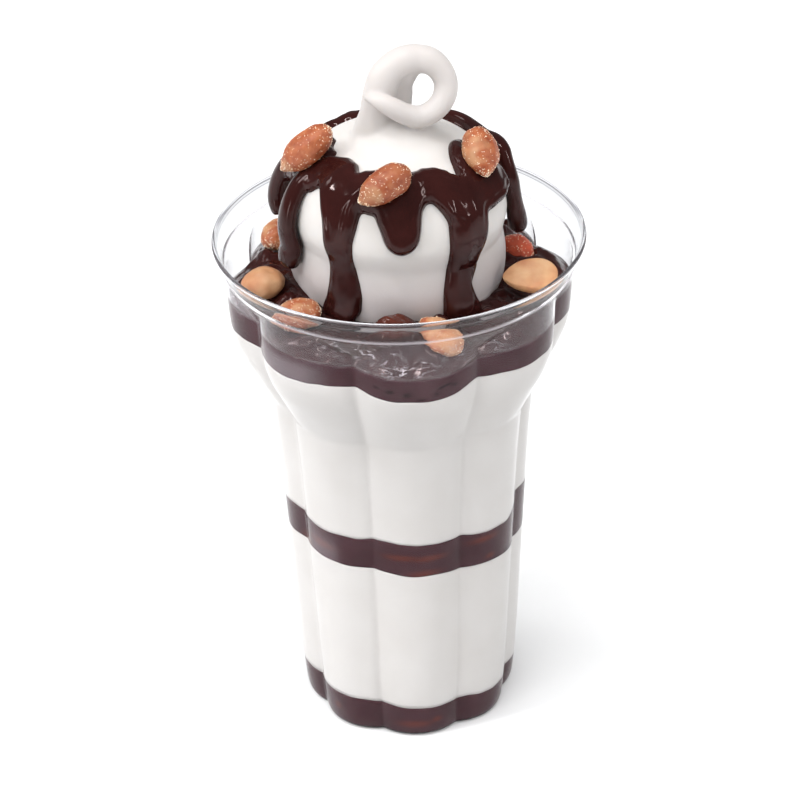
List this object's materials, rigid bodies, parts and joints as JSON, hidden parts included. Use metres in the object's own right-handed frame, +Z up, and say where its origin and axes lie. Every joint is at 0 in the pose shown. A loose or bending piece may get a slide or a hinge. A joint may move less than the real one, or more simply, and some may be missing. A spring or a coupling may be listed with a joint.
{
  "type": "ice cream sundae",
  "caption": "Layered soft serve and hot fudge sundae in a clear lobed cup, with a piped dome, a looped tail, running fudge and roasted peanuts",
  "frame": {"origin": "middle of the cup's foot, on the surface it stands on", "axes": "+Z up along the cup's axis, the front of the sundae towards -Y, +X to the right of that front"},
  "size_m": [0.098, 0.098, 0.1967],
  "materials": {
    "clear_plastic": "thin clear moulded plastic, high gloss",
    "soft_serve": null,
    "hot_fudge": null,
    "roasted_peanut": null
  },
  "bodies": {
    "root": {"cup": "clear_plastic", "fudge_base": "hot_fudge", "ice_cream_lower": "soft_serve", "fudge_middle": "hot_fudge", "ice_cream_upper": "soft_serve", "fudge_top": "hot_fudge", "ice_cream_dome": "soft_serve", "fudge_drape": "hot_fudge", "peanut_dome_left": "roasted_peanut", "peanut_dome_front": "roasted_peanut", "peanut_dome_right": "roasted_peanut", "peanut_dome_back_left": "roasted_peanut", "peanut_dome_back_right": "roasted_peanut", "peanut_pool_left": "roasted_peanut", "peanut_pool_front_left": "roasted_peanut", "peanut_pool_far_left": "roasted_peanut", "peanut_pool_right": "roasted_peanut", "peanut_pool_near_right": "roasted_peanut", "peanut_pool_front": "roasted_peanut", "peanut_pool_back_right": "roasted_peanut", "peanut_pool_back": "roasted_peanut", "peanut_pool_back_left": "roasted_peanut"}
  },
  "joints": []
}
